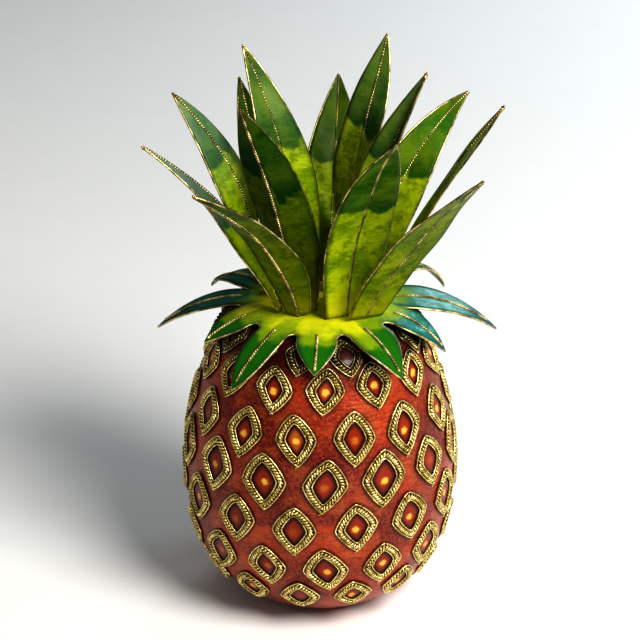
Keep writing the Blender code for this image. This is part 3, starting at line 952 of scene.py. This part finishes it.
# Some leaves are darker: partly their own darker enamel, partly painted shade for the shadows that fall on
# them.
depth = leaf_glass.attribute("depth")
colour = depth.over(colour, DARK_ENAMEL_AND_SHADE)
# Painted reflection: a pale grey sheen towards the tips stands in for the sky reflected in the leaves.
colour = (leaf_glass.attribute("sky_reflection") * (smear * 0.6 + 0.6)).over(colour, SKY_REFLECTION_GREY)
leaf_glass.set(
    Base_Color=colour,
    Roughness=fine * 0.2 + 0.25,
    Coat_Weight=(1 - depth) * (1 - depth) * 0.1,
    Normal=leaf_glass.bump(cloud + brush * 0.5 + fine * 0.2, BLADE_HAMMERING),
)


def wave(share, across, count, phase):
    """How far a hand-bent blade stands off its smooth form, at shares of its length and half width."""
    swing = np.sin(2 * math.pi * count * share + phase + WAVE_SLANT * across)
    return WAVE_HEIGHT * swing * np.sin(math.pi * share)


tips = []
for name, values in CROWN_LEAVES.items():
    foot_azimuth, foot_radius, heading, tip_heading, lean, tip_lean, length, width = values[:8]
    roll, tip_roll, fold, foot_share = values[8:]
    green_before, green_after, depth, sky_reflection = LEAF_ENAMELS[name]
    foot = np.array(outward(foot_azimuth) * foot_radius)
    fine_rows = blade(np.zeros(3), (heading, tip_heading), (lean, tip_lean), length, BLADE_FINE_STEPS)
    fine_shares = np.linspace(0, 1, BLADE_FINE_STEPS + 1)
    t = np.linspace(0, TIP_SHARE, BLADE_ROWS + 1)
    spine, directions, normals = [along_run(rows, fine_shares, t) for rows in fine_rows]
    turn = np.radians(roll + (tip_roll - roll) * t)[:, None]
    normals = normals * np.cos(turn) + np.cross(directions, normals) * np.sin(turn)
    sides = np.cross(directions, normals)
    bend = math.radians(fold)
    slope = math.sin(bend)
    half = half_width(t, width, foot_share, BLADE_WIDEST, BLADE_POWER) - EDGE_TUCK
    waves = hand.uniform(*WAVE_COUNTS), hand.uniform(0, 2 * math.pi)

    deselect()
    bpy.ops.mesh.primitive_grid_add(x_subdivisions=BLADE_ACROSS, y_subdivisions=BLADE_ROWS, size=2)
    leaf = bpy.context.object
    leaf.name = name + "_blade"
    flat = points_of(leaf)
    across = flat[:, 0]
    step = np.rint((flat[:, 1] + 1) / 2 * BLADE_ROWS).astype(int)
    places = spine[step] + sides[step] * (across * half[step] * math.cos(bend))[:, None]
    rise = np.abs(across) * half[step] * slope + wave(t[step], across, *waves)
    places += normals[step] * rise[:, None]
    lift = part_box(name)[0].z + CAD_SHEET / 2 * math.sin(math.radians(lean)) - places[:, 2].min()
    shift = foot + (0, 0, lift)
    move_points(leaf, places + shift)
    keep(leaf, "along", t[step])
    keep(leaf, "from_rib", np.abs(across))
    # How much darker the enamel is made, partly painted shade.
    keep(leaf, "depth", np.full(len(step), depth))
    # How much painted sky reflection lies on each point, rising towards the tip.
    keep(leaf, "sky_reflection", sky_reflection * np.clip(t[step] * REFLECTION_RISE - REFLECTION_LAG, 0, 1))
    # The green runs lowest in the middle of each half, in a rounded lobe.
    lobe = LOBE_REACH * (1 - (2 * np.abs(across) - 1) ** 2)
    keep(leaf, "green_from", np.where(across < 0, green_before, green_after) - lobe)
    thicken(leaf, BLADE_SHEET)
    finished(leaf, leaf_glass.material, "green_enamel", name)

    margins = []
    for edge in (-1, 1):
        rise = half * slope + wave(t, edge, *waves)
        margins.append(spine + sides * (edge * half * math.cos(bend))[:, None] + normals * rise[:, None])
    cap = spine[-1:] + directions[-1:] * half[-1]
    loop = open_line(np.vstack((margins[0], cap, margins[1][::-1])) + shift)
    tips.append(cap[0] + shift)
    finished(tubes(name + "_edge", [loop], EDGE_RADIUS, False, 2), edge_wire.material, "gilt_wire")
    line = spine + shift + normals * wave(t, 0, *waves)[:, None]
    paths, middle = twisted(line, directions, normals, RIB_WIND, RIB_PITCH)
    rib = tubes(name + "_midrib", paths, RIB_STRAND, False)
    keep_grooves(rib, middle, RIB_WIND + RIB_STRAND)
    finished(rib, edge_wire.material, "gilt_wire")

# The two ends of each edge wire meet at the tip in a drop of solder.
finished(drops("crown_tip_beads", tips, TIP_BEAD_RADIUS), edge_wire.material, "gilt_wire")
